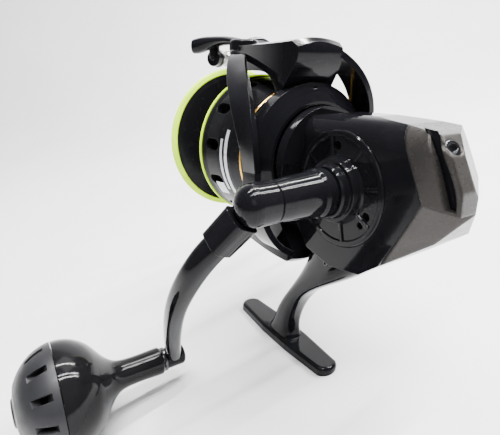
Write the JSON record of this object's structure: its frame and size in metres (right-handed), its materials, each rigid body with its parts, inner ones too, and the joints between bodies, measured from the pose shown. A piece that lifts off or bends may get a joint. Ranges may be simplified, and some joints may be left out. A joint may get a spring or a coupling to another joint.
{
  "type": "spinning reel",
  "caption": "Large fixed-spool fishing reel with foot, folding bail, oscillating spool, drag knob and a bent crank handle with a round grip.",
  "frame": {"origin": "centre of the foot's flat seating face", "axes": "+X along the main shaft towards the spool's front, +Y towards the handle, +Z from the foot to the body"},
  "size_m": [0.1517, 0.1715, 0.1561],
  "materials": {
    "gloss_black_metal": "gloss black enamel",
    "gloss_black_resin": "gloss black moulded resin",
    "satin_grey_metal": "satin gunmetal",
    "knob_gloss": "gloss black",
    "knob_satin": "satin dark grey",
    "spool_black": "black anodised",
    "lime_ring": "lime anodised",
    "gold_ring": "polished gold",
    "steel": "ground",
    "bright_screw": "polished",
    "gear_alloy": "machined",
    "brass": "machined",
    "wire_black": "dark polished",
    "roller_titanium": "dark polished",
    "seal_rubber": "matte",
    "drag_felt": "woven carbon fibre washers"
  },
  "bodies": {
    "frame": {"body_housing": "gloss_black_metal", "rear_cover": "satin_grey_metal", "rear_cover_screw": "bright_screw", "engine_plate": "gloss_black_metal", "engine_plate_seal": "seal_rubber", "drive_gear_bearing_right": "steel", "drive_gear_bearing_left": "steel", "left_bearing_cap": "gloss_black_metal", "pinion_bearing_rear": "steel", "pinion_bearing_front": "steel", "one_way_clutch": "steel", "clutch_rollers": "steel", "clutch_retainer": "gear_alloy", "slider_guide_rod": "steel", "body_side_screw": "bright_screw", "idler_pin": "steel"},
    "handle": {"drive_gear": "gear_alloy", "handle_barrel": "gloss_black_metal", "handle_barrel_seal": "seal_rubber", "handle_cap": "gloss_black_metal", "handle_sleeve": "gloss_black_metal", "handle_arm": "gloss_black_metal", "knob_shaft": "steel", "knob_washer": "bright_screw"},
    "knob": {"knob_inner": "knob_gloss", "knob_outer": "knob_satin", "knob_end_cap": "knob_satin", "knob_bearings": "steel"},
    "rotor": {"rotor": "gloss_black_resin", "pinion_gear": "brass", "clutch_sleeve": "steel", "rotor_nut": "brass", "bail_arm_cover": "gloss_black_resin", "counter_arm_cover": "gloss_black_resin", "arm_cover_screws": "bright_screw", "bail_spring": "steel", "bail_spring_rod": "steel", "rotor_nut_lock_screw": "bright_screw"},
    "bail": {"bail_arm": "gloss_black_metal", "roller_pin": "wire_black", "bail_wire": "wire_black", "bail_lever": "gloss_black_metal", "bail_pivot_screws": "bright_screw"},
    "line_roller": {"line_roller": "roller_titanium"},
    "shaft": {"main_shaft": "steel", "slider_block": "gear_alloy", "slider_pawl": "steel"},
    "spool": {"spool": "spool_black", "spool_lip_ring": "lime_ring", "spool_flange_ring": "lime_ring", "spool_rear_ring": "gold_ring", "spool_bearing": "steel", "drag_washers": "drag_felt", "drag_retaining_clip": "steel"},
    "drag_knob": {"drag_knob": "gloss_black_metal", "drag_spring": "steel"},
    "worm": {"worm_shaft": "steel", "worm_gear": "gear_alloy"},
    "idler": {"idler_gear": "gear_alloy"}
  },
  "joints": [
    {"name": "handle_turn", "type": "hinge", "parent": "frame", "child": "handle", "pos_m": [-0.0422, 0, 0.0856], "axis": [0, 1, 0], "continuous": true},
    {"name": "knob_spin", "type": "hinge", "parent": "handle", "child": "knob", "pos_m": [0.00749, 0.0995, 0.00545], "axis": [0, 1, 0], "continuous": true},
    {"name": "rotor_turn", "type": "hinge", "parent": "frame", "child": "rotor", "pos_m": [-0.0122, 0, 0.0908], "axis": [1, 0, 0], "continuous": true},
    {"name": "bail_open", "type": "hinge", "parent": "rotor", "child": "bail", "pos_m": [0.0358, 0, 0.0908], "axis": [0, 0, 1], "range_deg": [0, 105]},
    {"name": "roller_spin", "type": "hinge", "parent": "bail", "child": "line_roller", "pos_m": [0.0573, -0.0005, 0.1294], "axis": [0.4512, -0.8924, 0], "continuous": true},
    {"name": "spool_stroke", "type": "slide", "parent": "frame", "child": "shaft", "axis": [1, 0, 0], "range_m": [0, 0.0155]},
    {"name": "spool_slip", "type": "hinge", "parent": "shaft", "child": "spool", "pos_m": [0.0338, 0, 0.0908], "axis": [1, 0, 0], "continuous": true},
    {"name": "drag_turn", "type": "hinge", "parent": "shaft", "child": "drag_knob", "pos_m": [0.0478, 0, 0.0908], "axis": [1, 0, 0], "range_deg": [-360, 720]},
    {"name": "worm_turn", "type": "hinge", "parent": "frame", "child": "worm", "pos_m": [-0.0422, -0.006, 0.0792], "axis": [1, 0, 0], "continuous": true},
    {"name": "idler_turn", "type": "hinge", "parent": "frame", "child": "idler", "pos_m": [-0.0305, -0.0032, 0.08462], "axis": [1, 0, 0], "continuous": true}
  ],
  "couplings": [
    {"joint": "rotor_turn", "follows": "handle_turn", "ratio": -4.875},
    {"joint": "worm_turn", "follows": "handle_turn", "ratio": -4.875},
    {"joint": "idler_turn", "follows": "handle_turn", "ratio": 4.875}
  ]
}
